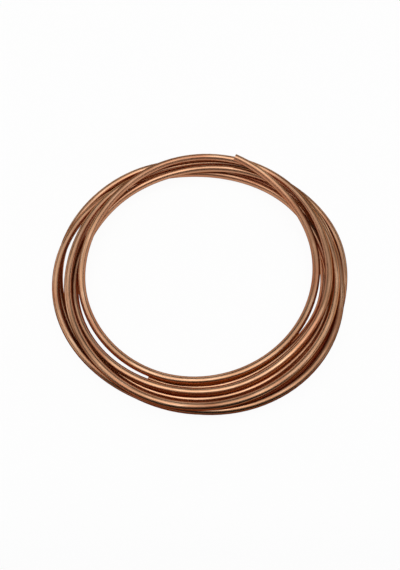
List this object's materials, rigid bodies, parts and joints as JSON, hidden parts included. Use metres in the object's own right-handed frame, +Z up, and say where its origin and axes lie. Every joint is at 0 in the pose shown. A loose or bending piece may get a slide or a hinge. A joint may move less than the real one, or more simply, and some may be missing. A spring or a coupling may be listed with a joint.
{
  "type": "copper tube coil",
  "caption": "Loose flat coil of soft copper tube in one length, with both cut ends open, ready to be unrolled, cut and bent to a run.",
  "frame": {"origin": "on the floor under the middle of the coil's box", "axes": "+Z up, along the coil's axis; +Y towards the side where the upper cut end lies; +X to the right of that"},
  "size_m": [0.2462, 0.2468, 0.0281],
  "materials": {
    "copper": "drawn bright copper, lightly dulled, with fine lengthwise draw marks"
  },
  "bodies": {
    "root": {"copper_tube": "copper"}
  },
  "joints": []
}
